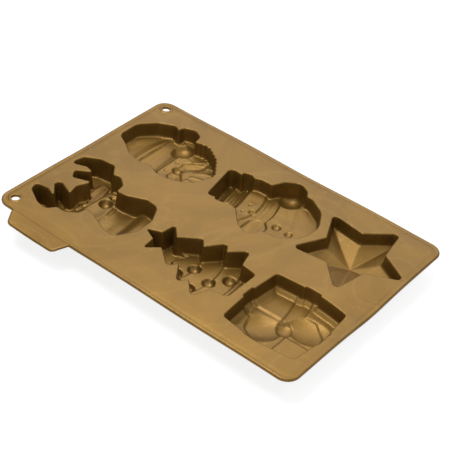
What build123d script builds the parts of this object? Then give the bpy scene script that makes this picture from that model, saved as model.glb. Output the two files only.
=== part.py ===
from build123d import *

import os
from math import cos, radians, sin, tan

# Silicone mini cake mould: a thin flexible sheet with six festive cake cups hanging from it.
#
# The sheet lies level, +Z up, and the mould stands on the small flat feet under its deepest hollows.
# The long side runs along X. The grip tab leaves the front long edge, towards -Y.
# Cups, seen from the front: back row left to right a bearded face in a pom-pom hat, a snowman and a
# star; front row a reindeer, a fir tree and a gift box. All figures lie with their heads to -X.
#
# The hollows are drafted pockets and round pits cut to different depths, so that what stands proud
# on the cake lies deepest in the cup. The outside of a cup is the same set of forms grown by one wall
# thickness, so the rubber is equally thick everywhere. The sheet is sized round the lips of the cups.
# The origin is at the middle of the overall box, on the surface that the mould stands on.

# Driving dimensions, in millimetres and degrees
mould_height = 23.0
sheet_thickness = 2.4
wall = 2.0
draft = 5.0
foot_flat = 0.4

margin_left = 8.5
margin_right = 7.0
margin_back = 14.2
margin_front = 18.0
corner_radius = 12.0

rim_width = 3.4
rim_thickness = 3.2
rim_round = 1.2
groove_width = 1.3
groove_depth = 0.9

tab_length = 62.0
tab_reach = 13.0
tab_thickness = 2.2
tab_corner_radius = 5.0
tab_flare = 6.0
tab_inset = 20.0
tab_slope = 15.0

hole_radius = 3.6
eyelet_radius = 6.2
eyelet_height = 0.8
eyelet_round = 0.5
eyelet_clearance = 0.6

# Places of the cups: two rows, three columns, and how far each figure sits off its grid point
column_pitch = 98.0
row_pitch = 92.0

# Depths of the cake hollows below the top of the sheet
face_floor = 13.0
brim_floor = 15.5
moustache_floor = 16.0
nose_depth = 18.5
snow_floor = 12.0
hat_floor = 18.0
scarf_floor = 14.0
mitten_depth = 17.5
button_depth = 15.5
star_wall_depth = 11.5
deer_floor = 16.5
antler_floor = 18.5
eye_depth = 19.5
tree_floor = 15.0
tree_star_floor = 17.0
ball_depth = 18.5
gift_floor = 14.0
ribbon_floor = 16.0
bow_floor = 17.5

# Sizes of the regular figures
star_tip_radius = 48.0
star_notch_radius = 25.7
star_tip_round = 3.0
tree_star_tip = 18.8
tree_star_notch = 9.6
gift_length = 66.0
gift_width = 67.0
gift_bulge = 2.2
gift_corner_radius = 4.0
gift_side_radius = 150.0
ribbon_width = 12.0

pompom_radius = 10.7
head_radius = 22.5
belly_radius = 31.0
ball_radius = 4.8
nose_radius = 5.5
knot_radius = 6.5
bowl_flat = 0.5
bowl_rise = 0.75
hair = 0.001

top = mould_height
deepest = mould_height - wall + foot_flat


def rounded(*corners):
    """A closed outline through corners given as x, y and the radius that rounds each one."""
    points = [(x, y) for x, y, _ in corners]
    return make_face(FilletPolyline(*points, radius=[r for _, _, r in corners], close=True))


def star_points(tip, notch, turn=0.0):
    """The ten corners of a regular five-pointed star."""
    corners = []
    for step in range(10):
        reach = notch if step % 2 else tip
        angle = radians(36 * step + turn)
        corners.append((reach * cos(angle), reach * sin(angle)))
    return corners


def mirrored(half):
    """A closed outline from its upper half, running from the axis's left end to its right end."""
    return make_face(Polyline(*half, *[(x, -y) for x, y in reversed(half)], close=True))


def hollow(face, depth, grow=0.0):
    """A drafted pocket under a lip outline, or, grown by the wall, the outside that goes with it."""
    lip = offset(face, grow / cos(radians(draft)) + hair, kind=Kind.ARC)
    raised = extrude(lip, amount=depth + grow, taper=draft)
    return Pos(0, 0, top) * mirror(raised, Plane.XY)


def pit(x, y, radius, depth, grow=0.0):
    """A bowl-like pit with a flat foot, for what stands proud on the cake."""
    reach = radius + grow
    low = top - depth - grow
    profile = make_face(Polyline(
        (0, low), (bowl_flat * reach, low), (reach, low + bowl_rise * reach), (0, low + bowl_rise * reach),
        close=True))
    return Pos(x, y) * revolve(Plane.XZ * profile, Axis.Z)


def cup(pockets, pits, extra=None):
    """The hollow and the outside of a cup, from its pockets (outline, depth) and its round pits."""
    forms = []
    for grow in (0.0, wall):
        solid = None
        for face, depth in pockets:
            piece = hollow(face, depth, grow)
            solid = piece if solid is None else solid + piece
        for x, y, radius, depth in pits:
            solid = solid + pit(x, y, radius, depth, grow)
        if extra:
            solid = solid + extra(grow)
        forms.append(solid)
    inside, outside = forms
    slab = Pos(0, 0, 0) * Box(200, 200, top, align=(Align.CENTER, Align.CENTER, Align.MIN))
    return inside, outside & slab


def bearded_face():
    """A long-bearded face: hat to the left, pom-pom at the back, beard to the right."""
    lip = rounded(
        (-48.5, 10.5, 9), (-36, 25.5, 14), (-24, 31.5, 6), (-15, 29.5, 2), (18, 29.5, 16),
        (34, 19.5, 14), (48, 0, 9), (42, -18.5, 10), (30, -28, 10), (14, -32.5, 14),
        (-1, -26.3, 5), (-9, -29.5, 4), (-24, -26.5, 9), (-37, -17.5, 12), (-48.5, -11.5, 8))
    pompom = Pos(-5.5, 24.5) * Circle(pompom_radius)
    brim = rounded(
        (-19, 24, 4), (-7, 25, 4), (-3.5, 9, 9), (-2.5, -12, 6), (-7, -24, 4), (-18, -22.5, 4),
        (-21.5, -8, 9))
    wing = rounded((7, 2, 2), (16, 3, 3), (25, 19.5, 4), (16, 21.5, 5), (6, 10, 4))
    other_wing = mirror(wing, Plane.XZ)
    pockets = [(lip, face_floor), (pompom, face_floor), (brim, brim_floor)]
    pockets += [(wing, moustache_floor), (other_wing, moustache_floor)]
    pits = [(-5.5, 22.5, pompom_radius - 1.2, deepest), (10, -0.5, nose_radius, nose_depth)]
    return cup(pockets, pits)


def snowman():
    """A snowman: tall hat to the left, scarf, one raised mitten at the back, two buttons."""
    body = Pos(14.5, 2) * Circle(belly_radius)
    head = Pos(-17, 2.5) * Circle(head_radius)
    crown = rounded((-53.5, 16, 4), (-45, -22, 3), (-34, -20, 1.5), (-37.5, 18.5, 1.5))
    brim = rounded((-40.5, 21, 2), (-32.5, -23.5, 2), (-27, -21.5, 2), (-35, 22.5, 2))
    mitten = rounded((-10, 18, 4), (-11.5, 32, 6), (0, 42.5, 7), (10, 40.5, 5), (18, 28, 4), (2, 14, 4))
    scarf_end = rounded((-16, -18, 4), (-9, -27.5, 4), (4, -38.5, 4), (13, -38, 4), (17, -26, 4))
    scarf = rounded((-10, 18, 3), (1, 19, 3), (5, -23, 3), (-6, -20, 3))
    pockets = [(form, snow_floor) for form in (body, head, crown, brim, mitten, scarf_end)]
    pockets.append((offset(crown, -1.2, kind=Kind.ARC), hat_floor))
    pockets += [(scarf, scarf_floor), (offset(scarf_end, -2.5, kind=Kind.ARC), scarf_floor)]
    pits = [(2, 30, 9.5, mitten_depth), (13.5, -4.5, 4, button_depth), (27, -4, 3.5, button_depth)]
    pits.append((-12.5, -2.5, 3.5, button_depth))
    return cup(pockets, pits)


def star():
    """A regular star whose floor falls in ten flat facets to a point in the middle."""
    lip = make_face(Polyline(*star_points(star_tip_radius, star_notch_radius), close=True))
    tips = [v for v in lip.vertices() if v.center().length > star_notch_radius + 5]
    lip = fillet(tips, star_tip_round)
    shrink = star_wall_depth * tan(radians(draft))

    def facets(grow):
        edge = offset(lip, grow - shrink, kind=Kind.ARC)
        reach = 1 - (3 * star_tip_round + shrink) / star_tip_radius
        base = make_face(Polyline(
            *star_points(star_tip_radius * reach + 2 * grow, star_notch_radius - shrink + grow), close=True))
        level = top - star_wall_depth - grow / 2
        spire = loft([Pos(0, 0, level) * base, Vertex(0, 0, top - deepest - 2 * grow)], ruled=True)
        plate = extrude(Pos(0, 0, level) * edge, amount=grow) if grow else None
        return spire + plate if plate else spire

    return cup([(lip, star_wall_depth)], [], facets)


def reindeer():
    """A reindeer's head: two forked antlers to the left, ears, and a broad muzzle to the right."""
    head = rounded(
        (-22, -12, 3), (-25, 0, 10), (-20.5, 11.5, 3), (-15, 31, 4), (-8, 33.5, 6), (1, 26.5, 4),
        (2.5, 17.5, 2), (12, 18.5, 10), (28, 26.5, 8), (40.5, 25, 8), (49, 9, 12), (49.5, -11, 12),
        (40, -26, 8), (30, -25.5, 6), (12, -18, 12), (1.5, -15.5, 2), (0.5, -24, 5), (-8, -31, 6),
        (-15, -30, 4))
    antlers = [
        rounded((-52.5, 23, 2.4), (-49, 33.5, 5), (-38, 40, 8), (-22.5, 42, 5), (-11, 31, 3),
                (-13, 14, 3), (-20, 14, 3), (-28.5, 23, 2), (-38, 25, 4)),
        rounded((-42, 14, 2.6), (-28, 25, 3), (-15, 20, 3), (-17, 9, 3), (-36, 6, 2.6)),
        rounded((-52.5, -20.5, 2.4), (-40, -19.3, 6), (-27.5, -23.5, 2), (-20, -14, 3), (-13, -13, 3),
                (-11, -29, 3), (-22.5, -39, 5), (-33, -37.5, 6), (-48.5, -29.5, 5)),
        rounded((-42, -8, 2.6), (-21, -10, 3), (-15, -20, 3), (-27, -25, 3)),
    ]
    brow = rounded((-20, 14, 4), (-18, 27, 5), (-6, 28, 5), (0, 15, 6), (3, 0, 12), (0, -14, 6),
                   (-6, -26, 5), (-18, -25, 5), (-20, -12, 4))
    pits = [(28, 1, 12, deepest), (-5, 16, nose_radius, eye_depth), (-5, -14, nose_radius, eye_depth)]
    pockets = [(head, deer_floor), (brow, antler_floor)]
    return cup(pockets + [(antler, deer_floor) for antler in antlers], pits)


def fir_tree():
    """A fir tree of three tiers with a star on its left tip, hung with round balls."""
    tiers = [
        mirrored([(-27, 7), (-9, 20.3), (-2.7, 14.7)]),
        mirrored([(-10, 6), (8.5, 28.8), (14.4, 22.9)]),
        mirrored([(0, 9.8), (26.6, 34), (32.2, 20.3)]),
        mirrored([(25, 22), (46, 16.3)]),
    ]
    pockets = [(fillet(tier.vertices(), 1.4), tree_floor) for tier in tiers]
    crest = make_face(Polyline(*star_points(tree_star_tip, tree_star_notch, 36), close=True))
    crest = Pos(-29.6, 0.4) * fillet(crest.vertices(), 0.8)
    core = offset(crest, -2.5, kind=Kind.ARC)
    places = [(-9.4, -7.4), (-1.5, 4), (10, -14), (17, 1), (26.8, 14), (27, -22), (-14, 8), (4, 17)]
    balls = [(x, y, ball_radius, ball_depth) for x, y in places]
    trunk = rounded((35, 19, 2), (45, 16, 3), (45, -16, 3), (35, -19, 2), (37, 0, 30))
    return cup(pockets + [(crest, tree_floor), (core, tree_star_floor), (trunk, deepest)], balls)


def gift():
    """A pillow-shaped gift box with crossed ribbons, a knot and a two-looped bow."""
    half_x = gift_length / 2
    half_y = gift_width / 2
    corner_x = half_x - gift_bulge
    corner_y = half_y - gift_bulge
    corner, side = gift_corner_radius, gift_side_radius
    box = rounded(
        (-half_x, 0, side), (-corner_x, corner_y, corner), (0, half_y, side), (corner_x, corner_y, corner),
        (half_x, 0, side), (corner_x, -corner_y, corner), (0, -half_y, side), (-corner_x, -corner_y, corner))
    reach = gift_length / 2 - 1
    lengthwise = RectangleRounded(2 * reach, ribbon_width, 2)
    crosswise = RectangleRounded(ribbon_width, gift_width - 2, 2)
    loop = rounded((2, 1, 2), (4, 22, 5), (17, 18, 5), (27, 10, 5), (24, 2, 5))
    bow = loop + Rot(0, 0, 180) * loop
    pockets = [(box, gift_floor), (lengthwise + crosswise, ribbon_floor), (bow, bow_floor)]
    return cup(pockets, [(0.5, 0.8, knot_radius, deepest)])


# Cups in place
left, right, back, front = -column_pitch, column_pitch, row_pitch / 2, -row_pitch / 2
layout = {
    "bearded_face_cup": (bearded_face, left + 6.0, back + 0.0),
    "snowman_cup": (snowman, 12.0, back + 0.0),
    "star_cup": (star, right, back + 1.4),
    "reindeer_cup": (reindeer, left + 8.0, front + 1.0),
    "tree_cup": (fir_tree, 12.0, front),
    "gift_cup": (gift, right + 5.5, front - 2.0),
}
insides = {}
outsides = {}
for name, (make, x, y) in layout.items():
    inside, outside = make()
    insides[name] = Pos(x, y, 0) * inside
    outsides[name] = Pos(x, y, 0) * outside

# Sheet round the lips
boxes = [inside.bounding_box() for inside in insides.values()]
x_low = min(box.min.X for box in boxes) - margin_left
x_high = max(box.max.X for box in boxes) + margin_right
y_low = min(box.min.Y for box in boxes) - margin_front
y_high = max(box.max.Y for box in boxes) + margin_back
middle = Pos((x_low + x_high) / 2, (y_low + y_high) / 2)


def sheet(inset, thickness, level):
    """A plate with the sheet's outline drawn in by an inset, its top at a level below the sheet's."""
    outline = RectangleRounded(x_high - x_low - 2 * inset, y_high - y_low - 2 * inset, corner_radius - inset)
    return extrude(middle * Pos(0, 0, top - level) * outline, amount=thickness, dir=(0, 0, -1))


rim = sheet(0, rim_thickness, 0) - sheet(rim_width, rim_thickness, 0)
upper = rim.faces().sort_by(Axis.Z)[-1].edges()
lower = rim.faces().sort_by(Axis.Z)[0].edges()
rim = fillet(upper + lower, min(rim_round, 0.45 * rim_width, 0.45 * rim_thickness))

deck = sheet(rim_width, sheet_thickness - groove_depth, groove_depth)
deck = deck + sheet(rim_width + groove_width, groove_depth, 0)

eyelet_inset = rim_width + groove_width + eyelet_clearance + eyelet_radius
eyelets = {}
for name, y in (("front", y_low + eyelet_inset), ("back", y_high - eyelet_inset)):
    place = Pos(x_low + eyelet_inset, y, top - sheet_thickness)
    floor_up = (Align.CENTER, Align.CENTER, Align.MIN)
    boss = place * Cylinder(eyelet_radius, sheet_thickness + eyelet_height, align=floor_up)
    deck = deck - boss
    ring = boss - place * Cylinder(hole_radius, sheet_thickness + eyelet_height, align=floor_up)
    ring = chamfer(ring.faces().sort_by(Axis.Z)[-1].edges(), eyelet_round)
    eyelets["hang_eyelet_" + name] = ring

for outside in outsides.values():
    deck = deck - outside

# Grip tab: a sloping plate rounded at its outer corners, seated on the rim bead
tab_middle = x_low + tab_inset + tab_length / 2
fall = tab_reach * tan(radians(tab_slope))
tab_side = Polyline(
    (y_low + rim_width / 2, top - 0.3), (y_low, top - 0.3), (y_low - tab_reach, top - 0.3 - fall),
    (y_low - tab_reach, top - 0.3 - fall - tab_thickness), (y_low, top - 0.3 - tab_thickness),
    (y_low + rim_width / 2, top - 0.3 - tab_thickness), close=True)
tab = extrude(Plane.YZ * make_face(tab_side), amount=tab_length / 2, both=True)
tab_plan = rounded(
    (-tab_length / 2, rim_width / 2, 0.5), (tab_length / 2, rim_width / 2, 0.5),
    (tab_length / 2 - tab_flare, -tab_reach, tab_corner_radius),
    (-tab_length / 2 + tab_flare, -tab_reach, tab_corner_radius))
tab = Pos(tab_middle, 0) * (tab & extrude(Pos(0, y_low) * tab_plan, amount=top))
tab = tab - rim - sheet(rim_width, rim_thickness, 0)

nodes = {"deck": deck, "rim_bead": rim, "grip_tab": tab}
nodes.update(eyelets)
for name in layout:
    nodes[name] = outsides[name] - insides[name]

whole = Compound(children=[Compound(node.solids()) for node in nodes.values()]).bounding_box()
shift = Pos(-whole.center().X, -whole.center().Y, -whole.min.Z)

os.makedirs("parts", exist_ok=True)
for name, node in nodes.items():
    placed = shift * node
    export_step(placed, os.path.join("parts", name + ".step"))
    print(name, round(placed.volume), len(placed.solids()), placed.is_valid)
print("overall", whole.size)
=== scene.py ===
import math

import bpy
import numpy as np
from mathutils import Matrix, Vector
from mathutils.geometry import delaunay_2d_cdt
from mathutils.kdtree import KDTree

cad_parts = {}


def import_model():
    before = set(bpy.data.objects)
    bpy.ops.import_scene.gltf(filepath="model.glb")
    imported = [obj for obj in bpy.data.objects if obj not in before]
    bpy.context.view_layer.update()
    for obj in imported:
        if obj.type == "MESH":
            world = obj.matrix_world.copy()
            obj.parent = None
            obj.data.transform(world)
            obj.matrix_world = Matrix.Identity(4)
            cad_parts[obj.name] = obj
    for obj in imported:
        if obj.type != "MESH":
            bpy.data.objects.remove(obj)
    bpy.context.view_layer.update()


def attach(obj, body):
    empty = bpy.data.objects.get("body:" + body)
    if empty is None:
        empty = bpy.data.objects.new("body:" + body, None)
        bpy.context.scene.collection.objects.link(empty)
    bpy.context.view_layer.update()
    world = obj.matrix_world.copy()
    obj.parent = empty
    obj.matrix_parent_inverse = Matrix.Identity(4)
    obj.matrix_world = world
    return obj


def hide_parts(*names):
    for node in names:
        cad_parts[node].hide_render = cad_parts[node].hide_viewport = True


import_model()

# The mould is drawn in millimetres on the sheet's own plane: x along the long side, y to the back,
# depth counted down from the sheet's top. Every mesh is moved to the frame at the very end.

# Half the sheet's length and width, its corner radius, and where its middle and top lie in the frame
SHEET_X, SHEET_Y = 149.8, 103.0
CORNER = 12.0
CENTRE_Y = 6.5
TOP = 23.0
PER_METRE = 1000

# Thickness of the sheet and of the cups' walls, the walls' lean, and the rounding of lips and feet
THICK = 2.4
WALL = 2.1
DRAFT = math.tan(math.radians(4.6))
LIP = 1.2
FOOT = 1.7

# The rim bead's width and how low it reaches, and the shallow groove inside it
RIM = 3.4
BEAD = 3.2
GROOVE = 3.0
GROOVE_DEPTH = 0.24

# The hang holes: radius of the hole and of its raised ring, and the middle of each one
HOLE = 3.6
EYELET = 6.2
EYELETS = {"hang_eyelet_front": (-138.34, -91.49), "hang_eyelet_back": (-138.34, 91.49)}

# The grip tab's left and right ends, and its thickness
TAB = (-131.0, -66.0)
TAB_THICK = 2.2

# Cast rubber has no sharp relief: its depth is the mean of a few spots round each point
SPOT = 0.42
SPOT_TURNS = (0.4, 2.5, 4.6)

# Spacing of the mesh along outlines and their corners, on floors and on undersides, the least gap
# between points of relief, and the rings that follow each lip, as distances outside it
OUTLINE_STEP, ARC_STEP = 0.75, 0.4
FINE, COARSE = 0.9, 1.8
DETAIL_GAP = 0.42
TOP_RINGS = (1.2, 0.95, 0.7, 0.45, 0.22, 0.0, -0.3, -0.6, -0.85, -1.05, -1.3, -1.6, -1.95, -2.4, -2.9)
UNDER_RINGS = (0.35, 0.8, 1.1, 1.4, 1.8, 2.4, 3.2, 4.2)

# The angle from which a fold looks sharp, the points measured in one go, and the least length that counts
SHARP = math.radians(52)
BATCH = 4000
TINY = 1e-12

# The pearl silicone's darker and lighter gold, and its light dust
PEARL_LOW, PEARL_HIGH = (0.126, 0.066, 0.0095, 1), (0.182, 0.0985, 0.016, 1)
PEARL_DUST = (0.26, 0.16, 0.045, 1)

# The view of the photograph: turn, tilt and roll in degrees, the sheet's middle seen from the lens
# in millimetres across, up and ahead, and the focal length and width of the picture in pixels
VIEW_ANGLES = (35.91, 38.77, 5.73)
VIEW_REACH = (-5.06, 2.04, 1037.83)
VIEW_FOCAL, VIEW_WIDTH = 1295.29, 452
SENSOR = 36.0


# Outlines

def arc_corner(before, corner, after, radius, step):
    """The points that round one corner of an outline."""
    into = (before - corner) / np.linalg.norm(before - corner)
    out = (after - corner) / np.linalg.norm(after - corner)
    half = math.acos(np.clip(into @ out, -1, 1)) / 2
    if half > math.radians(89):
        return [corner]
    reach = radius / math.tan(half)
    limit = 0.48 * min(np.linalg.norm(before - corner), np.linalg.norm(after - corner))
    if reach > limit:
        reach, radius = limit, limit * math.tan(half)
    start, end = corner + into * reach, corner + out * reach
    middle = corner + (into + out) / np.linalg.norm(into + out) * radius / math.sin(half)
    first, last = start - middle, end - middle
    turn = math.atan2(first[0] * last[1] - first[1] * last[0], first @ last)
    count = max(2, int(abs(turn) * radius / step) + 2)
    angles = np.linspace(0, turn, count)
    return [middle + first * math.cos(a) + np.array([-first[1], first[0]]) * math.sin(a) for a in angles]


def spaced(points, step):
    """A closed line's points laid out again at an even spacing."""
    loop = np.vstack([points, points[:1]])
    lengths = np.linalg.norm(np.diff(loop, axis=0), axis=1)
    along = np.concatenate([[0], np.cumsum(lengths)])
    count = int(along[-1] / step)
    marks = np.linspace(0, along[-1], count, endpoint=False)
    return np.stack([np.interp(marks, along, loop[:, k]) for k in (0, 1)], axis=1)


def rounded(*corners, step=OUTLINE_STEP):
    """A closed outline through corners given as x, y and the radius that rounds each one."""
    at = [np.array(c[:2], float) for c in corners]
    points = []
    for k, corner in enumerate(corners):
        points += arc_corner(at[k - 1], at[k], at[(k + 1) % len(at)], corner[2], ARC_STEP)
    points = spaced(np.array(points), step)
    area = np.sum(points[:, 0] * np.roll(points[:, 1], -1) - points[:, 1] * np.roll(points[:, 0], -1))
    return points if area > 0 else points[::-1].copy()


def circle(x, y, radius, step=OUTLINE_STEP):
    """A closed round outline."""
    count = max(12, int(2 * math.pi * radius / step))
    angles = np.linspace(0, 2 * math.pi, count, endpoint=False)
    return np.stack([x + radius * np.cos(angles), y + radius * np.sin(angles)], axis=1)


def star_corners(x, y, tip, notch, tip_round, notch_round, turn=0.0):
    """The ten rounded corners of a regular star."""
    corners = []
    for k in range(10):
        reach, radius = (notch, notch_round) if k % 2 else (tip, tip_round)
        angle = math.radians(36 * k + turn)
        corners.append((x + reach * math.cos(angle), y + reach * math.sin(angle), radius))
    return corners


def distance(points, outline, closed=True):
    """How far points lie from a line; inside a closed outline the distance is negative."""
    start = outline if closed else outline[:-1]
    end = np.roll(outline, -1, axis=0) if closed else outline[1:]
    span = end - start
    square = np.maximum((span ** 2).sum(1), TINY)
    result = np.empty(len(points))
    for low in range(0, len(points), BATCH):
        part = points[low:low + BATCH]
        gap = part[:, None] - start[None]
        along = np.clip((gap * span).sum(2) / square, 0, 1)
        away = gap - along[..., None] * span
        reach = np.sqrt((away ** 2).sum(2).min(1))
        if closed:
            above = start[None, :, 1] > part[:, None, 1]
            crossing = above != (end[None, :, 1] > part[:, None, 1])
            rise = np.where(np.abs(span[:, 1]) < TINY, TINY, span[:, 1])
            meet = start[None, :, 0] + (part[:, None, 1] - start[None, :, 1]) / rise * span[:, 0]
            odd = (crossing & (part[:, None, 0] < meet)).sum(1) % 2 == 1
            reach = np.where(odd, -reach, reach)
        result[low:low + BATCH] = reach
    return result


def outward(outline):
    """The unit directions that point out of a closed outline, one for each of its points."""
    tangent = np.roll(outline, -1, axis=0) - np.roll(outline, 1, axis=0)
    tangent /= np.linalg.norm(tangent, axis=1)[:, None]
    return np.stack([tangent[:, 1], -tangent[:, 0]], axis=1)


def ring(outline, away):
    """The outline drawn again at a distance outside it, or inside it where the distance is negative."""
    if away == 0:
        return outline
    points = outline + away * outward(outline)
    slack = 0.03 + 0.02 * abs(away)
    points = points[np.abs(distance(points, outline) - away) < slack]
    gaps = np.linalg.norm(points - np.roll(points, 1, axis=0), axis=1)
    return points[gaps > 0.12]


def lattice(low, high, step):
    """Evenly scattered points in a box, in staggered rows."""
    rows = np.arange(low[1], high[1], step * 0.866)
    points = []
    for k, y in enumerate(rows):
        xs = np.arange(low[0] + (k % 2) * step / 2, high[0], step)
        points.append(np.stack([xs, np.full(len(xs), y)], axis=1))
    return np.vstack(points)


def smooth(value):
    """A soft step from 0 to 1."""
    value = np.clip(value, 0, 1)
    return value * value * (3 - 2 * value)


# Relief of a cup's floor

class Relief:
    """The depth of a hollow's floor below the sheet, built up from what stands proud on the cake."""

    def __init__(self, floor):
        self.floor = floor
        self.forms = []
        self.rings = []

    def pocket(self, outline, depth, soft=1.2, rise=0.0):
        """A level area at its own depth; rise lifts its middle like a cushion."""
        def cut(points, deep):
            gap = distance(points, outline)
            goal = depth + rise * smooth(-gap / 9)
            return deep + (goal - deep) * smooth(0.5 - gap / soft)
        self.forms.append(cut)
        self.rings += [ring(outline, -0.5 * soft), ring(outline, 0.5 * soft)]
        return self

    def dome(self, x, y, long, wide, turn, amount):
        """A smooth oval cushion with a crisp edge."""
        c, s = math.cos(math.radians(turn)), math.sin(math.radians(turn))

        def cut(points, deep):
            away = points - np.array([x, y])
            reach = ((away @ [c, s]) / long) ** 2 + ((away @ [-s, c]) / wide) ** 2
            return deep + amount * np.maximum(1 - reach, 0)
        self.forms.append(cut)
        return self

    def swell(self, outline, amount, soft):
        """A soft change of depth that grows from an outline's edge to its inside."""
        def cut(points, deep):
            return deep + amount * smooth(-distance(points, outline) / soft)
        self.forms.append(cut)
        self.rings.append(outline)
        return self

    def pit(self, x, y, radius, depth, high=None):
        """A round-bottomed pit; high is its bowl's height, as great as its radius if not given."""
        high = high or radius

        def cut(points, deep):
            reach = np.hypot(points[:, 0] - x, points[:, 1] - y) / radius
            ball = depth - high + high * np.sqrt(np.maximum(1 - reach ** 2, 0))
            return np.where(reach < 1, np.maximum(deep, ball), deep)
        self.forms.append(cut)
        self.rings += [circle(x, y, radius * k, 0.6) for k in (0.98, 0.85)]
        return self

    def profile(self, measure, marks, values, lines=()):
        """A change of depth read from a section; measure gives each point's place along that section."""
        def cut(points, deep):
            return deep + np.interp(measure(points), marks, values)
        self.forms.append(cut)
        self.rings += [np.array(line, float) for line in lines]
        return self

    def line(self, points, width, amount):
        """A crease along a line: a groove where the amount is positive, a ridge where it is negative."""
        route = np.array(points, float)

        def cut(at, deep):
            gap = distance(at, route, closed=False)
            return deep + amount * np.exp(-(gap / width) ** 2)
        self.forms.append(cut)
        return self

    def depth(self, points):
        """The floor's depth at each point, softened over a small spot as cast rubber is."""
        total = np.zeros(len(points))
        for turn in SPOT_TURNS:
            spots = points + SPOT * np.array([math.cos(turn), math.sin(turn)])
            deep = np.full(len(points), float(self.floor))
            for form in self.forms:
                deep = form(spots, deep)
            total += deep / len(SPOT_TURNS)
        return total


def curve(points, count=24):
    """A smooth open line through a few points."""
    at = np.array(points, float)
    ends = np.vstack([2 * at[0] - at[1], at, 2 * at[-1] - at[-2]])
    line = []
    for k in range(1, len(ends) - 2):
        a, b, c, d = ends[k - 1:k + 3]
        for t in np.linspace(0, 1, count // (len(at) - 1) + 1, endpoint=False):
            line.append(0.5 * (2 * b + (c - a) * t + (2 * a - 5 * b + 4 * c - d) * t ** 2
                               + (3 * b - a - 3 * c + d) * t ** 3))
    line.append(at[-1])
    return np.array(line)


# The figures: outline at the sheet's top, and the relief of the floor

def scalloped(outline, window, pitch, amount):
    """An outline drawn out in a row of small scallops where the window lets them show."""
    lengths = np.linalg.norm(np.roll(outline, -1, axis=0) - outline, axis=1)
    along = np.cumsum(lengths) - lengths[0]
    height = amount * (np.abs(np.sin(math.pi * along / pitch)) - 0.5) * window(outline)
    return outline + height[:, None] * outward(outline)


def bearded_face():
    """A bearded face in a soft hat; hat to the left, pom-pom at the back, beard to the right."""
    lip = rounded(
        (-140.5, 56, 11), (-128.5, 70.5, 14), (-116, 77.5, 5), (-109, 74.8, 1.6), (-107.6, 81, 5),
        (-98.5, 84.6, 7), (-88.8, 80.5, 6.5), (-87.8, 71.5, 1.6), (-74, 74.5, 14), (-58, 64.5, 12),
        (-44, 46, 8), (-50, 27.5, 10), (-62, 18.2, 9), (-78, 13.3, 14), (-93, 19.6, 5), (-101, 16.8, 3),
        (-116, 19.2, 9), (-129, 28, 12), (-140.5, 34, 8))
    lip = scalloped(lip, lambda at: smooth((at[:, 0] + 86) / 5) * smooth((at[:, 1] - 26) / 8), 5.2, 1.1)
    face = Relief(13.4)
    hat = rounded((-142, 50, 5), (-128, 76, 5), (-111, 80, 3), (-113, 60, 10), (-114, 34, 10),
                  (-108, 14, 3), (-128, 22, 5), (-142, 36, 5))
    face.swell(hat, 1.6, 13)
    brim = rounded((-112, 80, 4), (-95, 78, 5), (-94, 56, 8), (-92, 31, 8), (-95, 14, 4),
                   (-110, 14, 4), (-115.5, 32, 8), (-115, 60, 8))
    face.pocket(brim, 14.9, 1.2).swell(brim, 1.5, 9)
    face.line(curve([(-114, 80), (-116.5, 62), (-117.5, 46), (-117, 32), (-112.5, 14)]), 0.8, 0.8)
    cheeks = rounded((-94, 62, 5), (-80, 62, 7), (-72, 52, 8), (-72, 36, 8), (-80, 27, 7), (-94, 26, 5))
    face.pocket(cheeks, 13.0, 2.4, 0.8)
    for k in range(7):
        turn = math.radians(66 - 22 * k)
        root = np.array([-80 + 13 * math.cos(turn), 44 + 17 * math.sin(turn)])
        tip = np.array([-78 + 31 * math.cos(turn + 0.12), 44 + 31 * math.sin(turn + 0.12)])
        middle = (root + tip) / 2 + np.array([-math.sin(turn), math.cos(turn)]) * 1.6
        face.line(curve([root, middle, tip]), 1.4, -0.7)
    upper = rounded((-84, 47, 3), (-76, 47, 3), (-66, 58, 5), (-67, 68, 4), (-76, 63, 6), (-85, 55, 3))
    lower = rounded((-84, 41, 3), (-85, 33, 3), (-76, 25, 6), (-67, 20, 4), (-66, 30, 5), (-76, 41, 3))
    face.pocket(upper, 15.0, 1.8, 1.8).pocket(lower, 15.0, 1.8, 1.8)
    face.pit(-89.5, 51.5, 1.7, 14.4).pit(-89.5, 36.5, 1.7, 14.4)
    face.pit(-82, 44, 5.2, 17.6).pit(-97.5, 68, 10.2, 20.6, 6.0)
    return lip, face


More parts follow.
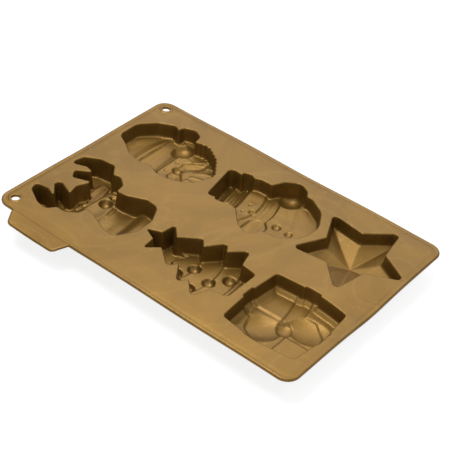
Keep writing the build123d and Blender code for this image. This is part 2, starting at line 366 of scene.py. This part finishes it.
def snowman():
    """A snowman in a tall hat, with a scarf, a raised mitten and two buttons."""
    lip = rounded(
        (-41, 64.5, 4), (-32.5, 23, 3.2), (-24.8, 25.3, 1.4), (-24, 22.6, 2), (-15.5, 24, 2.2),
        (-14.5, 27.5, 1.2), (-10, 26, 6), (-2.5, 24.5, 2), (3, 18, 4), (12, 9.5, 8), (22, 6.3, 4),
        (27, 11, 4), (27.8, 16.6, 1.5), (44, 19, 16), (58, 31, 18), (60.5, 52, 20), (50, 70, 18),
        (34, 79, 14), (28.6, 79, 1.5), (24.5, 85, 6), (14.5, 89.5, 7), (4, 82, 6), (-1.5, 70.5, 1.4),
        (-13, 70, 8), (-18, 67.5, 1.2), (-23, 69.5, 2.2), (-29, 67.5, 2), (-28, 63.8, 1.2))
    man = Relief(12.4)
    lean, bow = 0.17, 0.010

    def hat(points):
        return points[:, 0] + lean * (points[:, 1] - 44)
    marks = (-37, -30.5, -29.5, -27.4, -26.4, -24.6, -23.6, -21.6, -20.8, -18.6, -17.8, -15.6, -14.6)
    steps = (5.6, 5.0, 3.9, 3.9, 5.2, 5.2, 6.2, 6.2, 5.1, 5.1, 3.6, 3.0, 0.0)
    lines = [[(mark - lean * (y - 44), y) for y in np.arange(20, 72, 0.6)] for mark in marks[1:]]
    man.profile(hat, marks, steps, lines)
    man.swell(circle(-6, 47, 20), 1.2, 12)
    man.swell(circle(34, 47, 32), 1.8, 20)

    def scarf(points):
        return points[:, 0] + bow * (points[:, 1] - 46) ** 2
    marks = (0.6, 1.5, 4.0, 5.2, 8.0, 9.2, 13.6, 15.2, 15.9)
    steps = (0.0, 1.5, 2.1, 1.6, 2.2, 1.8, 2.5, 1.8, 0.0)
    lines = [[(mark - bow * (y - 46) ** 2, y) for y in np.arange(16, 76, 0.6)] for mark in marks]
    man.profile(scarf, marks, steps, lines)
    tail = rounded((4, 40, 4), (14, 43, 3), (21, 37, 4), (25, 15, 4), (22, 8, 3), (12, 11, 4),
                   (4, 19, 4))
    man.pocket(tail, 15.9, 1.2, 0.8)
    man.line(curve([(10, 40), (13, 28), (17.5, 12)]), 0.8, -0.5)
    man.pit(13.5, 78.5, 13.2, 19.2)
    man.pit(-7.9, 51, 1.3, 14.6, 0.9).pit(-7.4, 40, 1.3, 14.6, 0.9)
    man.pocket(rounded((-3, 42.0, 1), (-2.6, 47, 1), (6.5, 42.6, 0.6)), 15.6, 2.0)
    man.line(curve([(25, 76), (30.5, 65), (34.5, 54), (36.5, 42)]), 1.4, 0.45)
    man.line(curve([(21, 66), (26, 58), (29, 48)]), 1.3, 0.3)
    man.pit(26, 43.3, 4.6, 16.6).pit(38.8, 43, 4.0, 16.2)
    return lip, man


def star():
    """A regular star whose floor falls in ten flat facets to its middle."""
    x, y = 97.9, 47.4
    tip, notch, fall = 48.2, 25.4, 8.0
    fifth = math.pi / 5
    lip = rounded(*star_corners(x, y, tip, notch, 3.0, 1.6))
    relief = Relief(11.5)

    def facets(points, deep):
        turn = np.arctan2(points[:, 1] - y, points[:, 0] - x)
        reach = np.hypot(points[:, 0] - x, points[:, 1] - y)
        turn = np.abs((turn + fifth) % (2 * fifth) - fifth)
        point = np.array([tip, 0.0])
        side = notch * np.array([math.cos(fifth), math.sin(fifth)]) - point
        normal = np.array([-side[1], side[0]]) / np.linalg.norm(side)
        edge = abs(normal @ point)
        inward = edge - np.abs(reach * np.cos(turn) * normal[0] + reach * np.sin(turn) * normal[1])
        return deep + np.maximum(inward - 1, 0) / edge * fall
    relief.forms.append(facets)
    for k in range(10):
        angle = math.radians(36 * k)
        reach = 23 if k % 2 else 44
        relief.rings.append(np.array([(x + r * math.cos(angle), y + r * math.sin(angle))
                                      for r in np.linspace(reach, 0.5, int(reach))]))
    return lip, relief


def reindeer():
    """A reindeer's head: forked antlers to the left, ears, and a broad muzzle to the right."""
    lip = rounded(
        (-141, -20.5, 2.4), (-139, -11.5, 5), (-128, -5, 8), (-112.5, -3.2, 5), (-105, -13, 2),
        (-98, -11.5, 6), (-89, -18.5, 4), (-87.5, -27.5, 2), (-78, -26.5, 10), (-62, -18.5, 8),
        (-49.5, -20, 8), (-41, -36, 12), (-40.5, -54, 12), (-50, -71, 8), (-60, -70.5, 6),
        (-78, -63, 12), (-88.5, -60.5, 2), (-89.5, -69, 5), (-98, -76, 6), (-107, -76, 3),
        (-112.5, -84, 5), (-123, -82, 6), (-138.5, -73.5, 5), (-140.5, -66, 2.4), (-130, -64.3, 6),
        (-117.5, -68.5, 1.4), (-130, -55.5, 2.4), (-128, -50.5, 3), (-112, -56.8, 1.4),
        (-115, -45, 6), (-111, -36, 1.2), (-111.5, -32.8, 1.2), (-126, -39, 2.6),
        (-131.5, -31, 3), (-118.5, -22, 1.4), (-128, -20, 4), (-139, -24.5, 2.4))
    deer = Relief(17.0)
    axis = -44.5
    antlers = rounded((-146, 0, 2), (-100, 0, 2), (-105, -22, 6), (-106, -44, 6), (-105, -66, 6),
                      (-100, -88, 2), (-146, -88, 2))
    deer.pocket(antlers, 18.8, 1.6)
    forehead = rounded((-118, -10, 5), (-108, -12, 4), (-104, -30, 5), (-104, -58, 5), (-108, -78, 4),
                       (-118, -80, 5), (-116, -45, 12))
    deer.pocket(forehead, 17.4, 1.8, 0.6)
    head = rounded((-103, -24, 4), (-96, -20, 5), (-88, -26, 4), (-84.5, axis, 14), (-88, -62, 4),
                   (-96, -68, 5), (-103, -65, 4), (-104.5, axis, 20))
    deer.pocket(head, 15.8, 1.4, 0.8)
    deer.line(curve([(-86.5, -26), (-84.2, -35), (-83.6, axis), (-84.2, -54), (-86.5, -63)]), 0.6, -0.9)
    deer.pit(-84, axis, 1.6, 17.0)
    for side in (1, -1):
        ear = rounded((-101, axis + side * 25, 2), (-95, axis + side * 27, 2),
                      (-90.5, axis + side * 22, 3), (-96, axis + side * 20, 3))
        deer.pocket(ear, 18.4, 1.4)
        deer.pit(-95.5, axis + side * 13.5, 5.8, 20.8)
    deer.line(curve([(-110, -37), (-107, -40), (-108, -44)]), 0.9, -1.5)
    deer.line(curve([(-111, -46), (-108.5, -48), (-109, -52)]), 0.9, -1.3)

    def muzzle(points):
        return points[:, 0] + 0.006 * (points[:, 1] - axis) ** 2
    marks = np.linspace(-84, -48, 60)
    valley = np.exp(-((marks + 66.5) / np.where(marks < -66.5, 8.5, 5.0)) ** 2)
    deer.profile(muzzle, marks, 2.7 * valley - 1.5 * smooth((marks + 66) / 12))
    deer.dome(-66, axis, 20, 8, 90, 0.9)
    return lip, deer


def fir_tree():
    """A fir tree of three tiers with a star at its left tip, hung with round balls."""
    star_at = (-17.6, -45.8, 19.4, 9.2)
    tips = star_corners(*star_at, 1.0, 1.0, 180)
    lip = rounded(
        tips[0], tips[9], tips[8], (-13.5, -37.3, 1.2), (2.8, -24.2, 2.4), (9.3, -31.6, 1.3),
        (20.5, -15.4, 2.4), (26.4, -23.6, 1.3), (39.4, -10, 2.6), (44.4, -26.6, 1.3), (59.5, -28.6, 3.5),
        (59.5, -63, 3.5), (44.4, -65, 1.3), (39.4, -81.6, 2.6), (26.4, -68, 1.3), (20.5, -76.2, 2.4),
        (9.3, -60, 1.3), (2.8, -67.4, 2.4), (-13.5, -54.3, 1.2), tips[2], tips[1])
    tree = Relief(15.6)
    axis, drop = -46, 1.7
    for start, edge, bow in ((-12, 11.2, 0.015), (11.2, 29.2, 0.0085), (29.2, 46.0, 0.005)):
        def skirt(points, bow=bow):
            return points[:, 0] + bow * (points[:, 1] - axis) ** 2
        marks = (start + 2, edge - 1.6, edge - 0.35, edge + 0.25)
        lines = [[(mark - bow * (y - axis) ** 2, y) for y in np.arange(-84, -8, 0.5)]
                 for mark in marks[1:]]
        tree.profile(skirt, marks, (0.0, 0.7 * drop, drop, 0.0), lines)
    trunk = rounded((48, -20, 2), (64, -24, 2), (64, -68, 2), (48, -72, 2), (50, -46, 60))
    tree.pocket(trunk, 14.6, 1.4)
    crest = rounded(*star_corners(*star_at, 0.6, 0.5, 180))
    tree.pocket(crest, 18.4, 0.9)
    for x, y in ((10.5, -42), (2.6, -55), (29, -46.5), (21.5, -62), (39.4, -33.5)):
        tree.pit(x, y, 5.2, 20.6, 4.4)
    return lip, tree


def gift():
    """A pillow-shaped gift box with crossed ribbons, a knot and a two-looped bow."""
    lip = rounded(
        (70.8, -15.5, 3.5), (95.9, -13.0, 0.9), (96.8, -11.2, 0.9), (109.7, -11.2, 0.9),
        (110.6, -13.0, 0.9), (136.2, -15.5, 3.5), (138.6, -39, 8), (139.8, -41, 2),
        (139.8, -56.5, 2), (138.6, -58.5, 8), (136.2, -81, 3.5),
        (113, -84, 8), (111, -85, 2), (95, -85, 2), (93, -84, 8), (70.8, -81, 3.5),
        (69.0, -54, 0.9), (67.2, -53, 0.9), (67.2, -41.5, 0.9), (69.0, -40.5, 0.9))
    box = Relief(12.0)
    tilt = 0.03
    box.profile(lambda at: -distance(at, lip), (2.0, 5.2), (0.0, 2.6), (ring(lip, -5.2),))

    def along(points):
        return points[:, 0] + 0.16 * (points[:, 1] + 47) * smooth((points[:, 1] + 47) / 30)

    def across(points):
        return points[:, 1] - tilt * (points[:, 0] - 104)
    offsets = (-7.2, -6.2, -5.0, -3.8, 3.8, 5.0, 6.2, 7.2)
    heights = (0.0, 0.9, 1.1, 0.7, 0.7, 1.1, 0.9, 0.0)
    marks = [103.4 + offset for offset in offsets]
    box.profile(along, marks, heights, [[(mark, y) for y in np.arange(-86, -10, 0.5)] for mark in marks])
    marks = [-47.4 + offset for offset in offsets]
    lines = [[(x, mark + tilt * (x - 104)) for x in np.arange(66, 140, 0.5)] for mark in marks]
    box.profile(across, marks, heights, lines)
    upper = rounded((102, -41, 2), (105, -27, 5), (117, -25, 7), (131, -35, 5), (133, -46, 4),
                    (121, -52, 5), (108, -47, 3))
    lower = rounded((106, -52, 2), (105, -66, 4), (94, -73, 6), (80, -66, 6), (76, -55, 4), (82, -47, 5),
                    (98, -46, 3))
    box.pocket(upper, 15.6, 1.4).dome(119, -38, 18, 13.5, 12, 3.0)
    box.pocket(lower, 15.6, 1.4).dome(90.5, -59, 18, 13.5, 35, 3.0)
    box.pit(104, -47.2, 7.8, 19.4, 3.6)
    return lip, box


# Meshes

def filled(rings, points, keep):
    """Triangles over a flat area that follow every ring; keep tells which triangles belong to it."""
    at, edges, first = [], [], 0
    for line in rings:
        at += [Vector(p) for p in line]
        count = len(line)
        edges += [(first + k, first + (k + 1) % count) for k in range(count)]
        first += count
    at += [Vector(p) for p in points]
    spots, _, faces, *_ = delaunay_2d_cdt(at, edges, [], 0, 1e-4, False)
    spots = np.array([tuple(s) for s in spots])
    faces = np.array([f for f in faces if len(f) == 3])
    middles = spots[faces].mean(axis=1)
    faces = faces[keep(middles)]
    a, b, c = (spots[faces[:, k]] for k in range(3))
    area = (b[:, 0] - a[:, 0]) * (c[:, 1] - a[:, 1]) - (b[:, 1] - a[:, 1]) * (c[:, 0] - a[:, 0])
    whole = np.abs(area) > 1e-5
    faces, area = faces[whole], area[whole]
    faces[area < 0] = faces[area < 0][:, ::-1]
    used, faces = np.unique(faces, return_inverse=True)
    return spots[used], faces.reshape(-1, 3)


def droop(at):
    """The soft sheet's sag: the right end hangs between the cups, and the long edges wander a little."""
    x, y = at[:, 0], at[:, 1]
    between = np.exp(-(y / 30) ** 2)
    sag = 2.6 * smooth((x - 118) / 34) * between
    edge = smooth((np.abs(y) - 88) / 18)
    sag += edge * (0.5 + 0.4 * np.sin(x / 21 + np.sign(y)))
    sag += 0.6 * smooth((-118 - x) / 30) * between
    return sag


def close_sides(top, top_faces, low, low_faces):
    """Joins a top and an underside along their shared edges into one closed skin."""
    at = np.vstack([top, low])
    faces = [tuple(f) for f in top_faces]
    faces += [tuple(len(top) + i for i in reversed(f)) for f in low_faces]
    edges = {}
    for f in top_faces:
        for k in range(3):
            a, b = int(f[k]), int(f[(k + 1) % 3])
            edges[(a, b)] = edges.get((a, b), 0) + 1
    border = [e for e in edges if (e[1], e[0]) not in edges]
    near = {tuple(np.round(p[:2], 3)): k for k, p in enumerate(low)}
    for a, b in border:
        c, d = (near.get(tuple(np.round(top[k][:2], 3))) for k in (b, a))
        if c is not None and d is not None:
            faces.append((b, a, len(top) + d, len(top) + c))
    return at, faces


def put(name, data):
    """A new object in the scene that holds the data."""
    thing = bpy.data.objects.new(name, data)
    bpy.context.scene.collection.objects.link(thing)
    return thing


def piece(node, at, faces, material):
    """A mesh piece that stands for a CAD node, moved to the frame and sagged with the sheet."""
    at = np.array(at, float)
    place = np.stack([at[:, 0], at[:, 1] + CENTRE_Y, TOP - at[:, 2] - droop(at)], axis=1) / PER_METRE
    mesh = bpy.data.meshes.new(node)
    mesh.from_pydata([tuple(p) for p in place], [], [tuple(int(i) for i in f) for f in faces])
    mesh.validate()
    mesh.shade_smooth()
    mesh.set_sharp_from_angle(angle=SHARP)
    mesh.materials.append(material)
    thing = put(node + "_skin", mesh)
    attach(thing, "root")
    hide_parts(node)


def cup_top(points, lip, relief):
    """Depth of a cup's upper skin: rounded lip, leaning wall, rounded foot and relief floor."""
    inside = -distance(points, lip)
    floor = relief.depth(points)
    edge = LIP - np.sqrt(np.maximum(LIP ** 2 - np.clip(LIP + inside, 0, LIP) ** 2, 0))
    wall = LIP + inside / DRAFT
    start = (floor - FOOT - LIP) * DRAFT
    into = np.clip(FOOT - (inside - start), 0, FOOT)
    foot = floor - FOOT + np.sqrt(np.maximum(FOOT ** 2 - into ** 2, 0))
    return np.where(inside < 0, edge, np.where(inside < start, wall, foot))


def cup_under(points, lip, relief):
    """Depth of a cup's underside: the same form grown by the wall."""
    inside = WALL - distance(points, lip)
    floor = relief.depth(points) + WALL
    radius = FOOT + 1.0
    start = (floor - radius - THICK) * DRAFT
    into = np.clip(radius - (inside - start), 0, radius)
    foot = floor - radius + np.sqrt(np.maximum(radius ** 2 - into ** 2, 0))
    return np.minimum(np.where(inside < start, THICK + inside / DRAFT, foot), TOP)


def thinned(points, least):
    """The points with near doubles left out."""
    cells = {}
    kept = []
    for p in points:
        key = (int(p[0] // least), int(p[1] // least))
        near = [q for i in (-1, 0, 1) for j in (-1, 0, 1) for q in cells.get((key[0] + i, key[1] + j), ())]
        if all((p[0] - q[0]) ** 2 + (p[1] - q[1]) ** 2 > least ** 2 for q in near):
            cells.setdefault(key, []).append(p)
            kept.append(p)
    return np.array(kept)


def apart(points, others, least):
    """The points that keep a least distance from all others."""
    tree = KDTree(len(others))
    for k, p in enumerate(others):
        tree.insert((p[0], p[1], 0), k)
    tree.balance()
    far = [tree.find((p[0], p[1], 0))[2] > least for p in points]
    return points[np.array(far, bool)]


def cup(name, figure, material):
    """One cup: its upper skin and underside joined along the ring where it meets the sheet."""
    lip, relief = figure
    seam = ring(lip, WALL)
    low, high = lip.min(0) - 3, lip.max(0) + 3

    def within(at):
        return distance(at, seam) < 0

    detail = np.vstack(relief.rings)
    detail = thinned(detail[distance(detail, lip) < TOP_RINGS[-1] - 0.4], DETAIL_GAP)
    field = lattice(low, high, FINE)
    field = field[distance(field, lip) < TOP_RINGS[-1] - 0.5]
    points = np.vstack([detail, apart(field, detail, 0.5 * FINE)])
    rings = [seam] + [ring(lip, away) for away in TOP_RINGS]
    flat, faces = filled(rings, points, within)
    top = np.column_stack([flat, cup_top(flat, lip, relief)])

    field = lattice(low, high, COARSE)
    field = field[distance(field, lip) < WALL - UNDER_RINGS[-1] - 0.8]
    rings = [seam] + [ring(lip, WALL - away) for away in UNDER_RINGS]
    flat, low_faces = filled(rings, field, within)
    under = np.column_stack([flat, cup_under(flat, lip, relief)])
    under[np.abs(distance(flat, seam)) < 1e-3, 2] = THICK
    at, faces = close_sides(top, faces, under, low_faces)
    piece(name, at, faces, material)
    return seam


def sheet_outline(inset):
    """The sheet's rounded outline, drawn in by an inset."""
    x, y, r = SHEET_X - inset, SHEET_Y - inset, CORNER - inset
    return rounded((-x, -y, r), (x, -y, r), (x, y, r), (-x, y, r), step=1.2)


def deck(seams, material):
    """The flat sheet between the cups, with the shallow groove inside its bead."""
    holes = seams + [circle(x, y, EYELET) for x, y in EYELETS.values()]
    border = sheet_outline(RIM)
    rings = [border] + [sheet_outline(RIM + GROOVE * k) for k in (0.25, 0.5, 0.75, 1.0, 1.3)] + holes
    points = lattice((-SHEET_X, -SHEET_Y), (SHEET_X, SHEET_Y), 2.6)
    points = points[distance(points, border) < -3.2]
    for hole in holes:
        points = points[distance(points, hole) > 1.0]

    def keep(at):
        within = distance(at, border) < 0
        for hole in holes:
            within &= distance(at, hole) > 0
        return within

    flat, faces = filled(rings, points, keep)
    inset = -distance(flat, border)
    across = np.clip(inset / GROOVE, 0, 1)
    groove = GROOVE_DEPTH * np.where(inset < GROOVE, 0.5 + 0.5 * np.cos(np.pi * across), 0)
    top = np.column_stack([flat, groove])
    under = np.column_stack([flat, np.full(len(flat), THICK)])
    at, faces = close_sides(top, faces, under, faces.copy())
    piece("deck", at, faces, material)


def belt(count, around):
    """The faces of a closed tube: count sections in a row, each of as many points as go around."""
    faces = []
    for k in range(count):
        for j in range(around):
            a, b = k * around + j, k * around + (j + 1) % around
            c, d = (k + 1) % count * around + (j + 1) % around, (k + 1) % count * around + j
            faces.append((a, b, c, d))
    return faces


def rim_bead(material):
    """The rounded bead round the sheet."""
    section = [(0, 1.6), (0.04, 1.15), (0.18, 0.7), (0.45, 0.34), (0.85, 0.12), (1.35, 0.01), (1.9, 0.0),
               (2.5, 0.1), (3.0, 0.27), (RIM, GROOVE_DEPTH), (RIM + 0.4, 0.7), (RIM + 0.4, 2.0),
               (RIM, THICK), (3.0, 2.8), (2.4, 3.08), (1.7, BEAD), (1.0, 3.12), (0.45, 2.82), (0.12, 2.35)]
    path = sheet_outline(0.0)
    out = outward(path)
    at = []
    for k, point in enumerate(path):
        at += [(*(point - inset * out[k]), depth) for inset, depth in section]
    faces = [(a, d, c, b) for a, b, c, d in belt(len(path), len(section))]
    piece("rim_bead", at, faces, material)


def grip_tab(material):
    """The pull tab: a thin plate with rounded edges that falls a little towards its free end."""
    left, right = TAB
    root, shoulder, free = -100.8, -105.5, -116.0
    outline = rounded((left, root, 1), (left + 2, shoulder, 4), (left + 8.5, free, 6),
                      (right - 7, free, 6), (right - 2, shoulder, 4), (right, root, 1))
    rings = [ring(outline, -away) for away in (0, 0.12, 0.35, 0.7, 1.1, 2.0)]
    points = lattice((left, -117), (right, -100), 1.6)
    points = points[distance(points, outline) < -2.8]
    flat, faces = filled(rings, points, lambda at: distance(at, outline) < 0)
    edge = TAB_THICK / 2
    inside = np.clip(-distance(flat, outline), 0, edge)
    half = np.sqrt(np.maximum(edge ** 2 - (edge - inside) ** 2, 0))
    out = np.clip(-102.0 - flat[:, 1], 0, None)
    wave = 0.15 * np.sin(flat[:, 0] / 9) * out / 12
    middle = 0.4 + edge + 0.05 * out + 0.007 * out ** 2 + wave
    top = np.column_stack([flat, middle - half])
    under = np.column_stack([flat, middle + half])
    at, faces = close_sides(top, faces, under, faces.copy())
    piece("grip_tab", at, faces, material)


def eyelet(name, x, y, material):
    """A raised ring round a hang hole."""
    profile = [(EYELET, THICK), (EYELET, 0.0), (EYELET - 0.3, -0.22), (EYELET - 0.8, -0.42),
               (EYELET - 1.3, -0.5), (HOLE + 0.8, -0.46), (HOLE + 0.35, -0.28), (HOLE + 0.08, 0.0),
               (HOLE, 0.5), (HOLE, THICK - 0.4), (HOLE + 0.3, THICK)]
    turns = 64
    at = []
    for k in range(turns):
        angle = 2 * math.pi * k / turns
        at += [(x + r * math.cos(angle), y + r * math.sin(angle), depth) for r, depth in profile]
    piece(name, at, belt(turns, len(profile)), material)


# Materials

class Value:
    """A socket of a shader tree that takes part in sums as a plain number would."""

    def __init__(self, tree, socket):
        self.tree, self.socket = tree, socket

    def math(self, operation, first, second):
        return self.tree.node("ShaderNodeMath", {"operation": operation}, {0: first, 1: second})

    def __add__(self, other):
        return self.math("ADD", self, other)

    __radd__ = __add__

    def __sub__(self, other):
        return self.math("SUBTRACT", self, other)

    def __rsub__(self, other):
        return self.math("SUBTRACT", other, self)

    def __abs__(self):
        return self.math("ABSOLUTE", self, 0.0)

    def __mul__(self, other):
        return self.math("MULTIPLY", self, other)

    __rmul__ = __mul__


class Shading:
    """The shader tree of a material or a world, whose nodes are all made by one method."""

    def __init__(self, owner):
        owner.use_nodes = True
        self.nodes, self.links = owner.node_tree.nodes, owner.node_tree.links
        self.nodes.clear()

    def node(self, kind, settings=None, inputs=None, output=0):
        made = self.nodes.new(kind)
        for key, value in (settings or {}).items():
            setattr(made, key, value)
        for key, value in (inputs or {}).items():
            if isinstance(value, Value):
                self.links.new(value.socket, made.inputs[key])
            else:
                made.inputs[key].default_value = value
        return Value(self, made.outputs[output]) if made.outputs else None


def silicone():
    """Gold-bronze pearl silicone: satin, with faint flow clouds and lines, fine grain and specks."""
    material = bpy.data.materials.new("pearl_silicone")
    tree = Shading(material)
    place = tree.node("ShaderNodeTexCoord", output="Object")

    def noise(scale, detail, distortion=0.0):
        return tree.node("ShaderNodeTexNoise", {}, {
            "Vector": place, "Scale": scale, "Detail": detail, "Distortion": distortion})

    def ranged(value, low, high, start=0.0, end=1.0):
        return tree.node("ShaderNodeMapRange", {}, {
            "Value": value, "From Min": low, "From Max": high, "To Min": start, "To Max": end})

    def blend(share, color, other):
        return tree.node("ShaderNodeMix", {"data_type": "RGBA"}, {0: share, 6: color, 7: other}, output=2)

    clouds = noise(14.0, 4.0, 1.6)
    grain = noise(900.0, 3.0)
    specks = noise(260.0, 1.0)
    swirl = noise(8.0, 1.5, 2.2)
    pearl = ranged(clouds, 0.3, 0.7)
    dust = ranged(specks, 0.66, 0.74)
    flow = ranged(abs(swirl - 0.5), 0.0, 0.022, 1.0, 0.0)
    color = blend(pearl, PEARL_LOW, PEARL_HIGH)
    color = blend(dust * 0.25, color, PEARL_DUST)
    color = blend(flow * 0.16, color, PEARL_DUST)
    rough = 0.38 + 0.08 * pearl + 0.06 * grain
    height = grain + 0.7 * specks
    bumps = tree.node("ShaderNodeBump", {}, {"Strength": 0.10, "Distance": 0.0003, "Height": height})
    shader = tree.node("ShaderNodeBsdfPrincipled", {}, {
        "Base Color": color, "Roughness": rough, "Metallic": 0.75, "Normal": bumps,
        "Coat Weight": 0.11, "Coat Roughness": 0.3, "Specular IOR Level": 0.4})
    tree.node("ShaderNodeOutputMaterial", {}, {"Surface": shader})
    return material


# The object

material = silicone()
figures = {
    "bearded_face_cup": bearded_face(), "snowman_cup": snowman(), "star_cup": star(),
    "reindeer_cup": reindeer(), "tree_cup": fir_tree(), "gift_cup": gift(),
}
seams = [cup(name, figure, material) for name, figure in figures.items()]
deck(seams, material)
rim_bead(material)
grip_tab(material)
for name, (x, y) in EYELETS.items():
    eyelet(name, x, y, material)


# Stage

def backdrop():
    """A pale floor that looks white to the camera and keeps the soft shadow."""
    material = bpy.data.materials.new("paper")
    tree = Shading(material)
    seen = [tree.node("ShaderNodeLightPath", output=name)
            for name in ("Is Camera Ray", "Is Glossy Ray", "Is Transmission Ray")]
    paper = tree.node("ShaderNodeBsdfDiffuse", {}, {"Color": (0.9, 0.9, 0.9, 1)})
    glow = tree.node("ShaderNodeEmission", {}, {"Color": (1, 1, 1, 1), "Strength": 1.05})
    share = (seen[0] + seen[1] + seen[2]) * 0.78
    both = tree.node("ShaderNodeMixShader", {}, {"Fac": share, 1: paper, 2: glow})
    tree.node("ShaderNodeOutputMaterial", {}, {"Surface": both})
    mesh = bpy.data.meshes.new("floor")
    mesh.from_pydata([(-6, -6, 0), (6, -6, 0), (6, 6, 0), (-6, 6, 0)], [], [(0, 1, 2, 3)])
    mesh.materials.append(material)
    floor = put("floor", mesh)


def lamp(name, place, aim, size, power):
    """A soft square lamp."""
    light = bpy.data.lights.new(name, "AREA")
    light.size, light.energy = size, power
    thing = put(name, light)
    thing.location = place
    thing.rotation_euler = (Vector(aim) - Vector(place)).to_track_quat("-Z", "Y").to_euler()


def camera():
    """The camera of the photograph, solved from the sheet's corners, in the frame's metres."""
    turn, tilt, roll = (math.radians(angle) for angle in VIEW_ANGLES)
    across, above, away = VIEW_REACH
    ahead = Vector((-math.sin(turn) * math.cos(tilt), math.cos(turn) * math.cos(tilt), -math.sin(tilt)))
    right = Vector((math.cos(turn), math.sin(turn), 0))
    up = right.cross(ahead)
    right, up = (right * math.cos(roll) + up * math.sin(roll),
                 up * math.cos(roll) - right * math.sin(roll))
    place = -(right * across + up * above + ahead * away) + Vector((0, CENTRE_Y, TOP))
    lens = bpy.data.cameras.new("camera")
    lens.sensor_width, lens.lens = SENSOR, SENSOR * VIEW_FOCAL / VIEW_WIDTH
    thing = put("camera", lens)
    thing.matrix_world = Matrix((
        (right.x, up.x, -ahead.x, place.x / PER_METRE), (right.y, up.y, -ahead.y, place.y / PER_METRE),
        (right.z, up.z, -ahead.z, place.z / PER_METRE), (0, 0, 0, 1)))
    bpy.context.scene.camera = thing


def world():
    """An even pale room, plain white behind the object."""
    room = bpy.data.worlds.new("room")
    tree = Shading(room)
    seen = tree.node("ShaderNodeLightPath", output="Is Camera Ray")
    light = tree.node("ShaderNodeBackground", {}, {"Color": (0.97, 0.98, 1, 1), "Strength": 0.42})
    white = tree.node("ShaderNodeBackground", {}, {"Color": (1, 1, 1, 1), "Strength": 1.0})
    both = tree.node("ShaderNodeMixShader", {}, {"Fac": seen, 1: light, 2: white})
    tree.node("ShaderNodeOutputWorld", {}, {"Surface": both})
    bpy.context.scene.world = room


backdrop()
world()
camera()
lamp("key", (-0.42, -0.12, 1.5), (0, 0, 0), 0.75, 20)
lamp("back", (-0.55, 1.1, 1.3), (0.05, 0, 0), 1.5, 17)
lamp("fill", (1.0, 0.3, 1.3), (0, 0, 0), 1.2, 8)
lamp("front", (0.5, -1.3, 0.9), (0, 0, 0), 0.9, 7)
bpy.context.scene.view_settings.view_transform = "Standard"
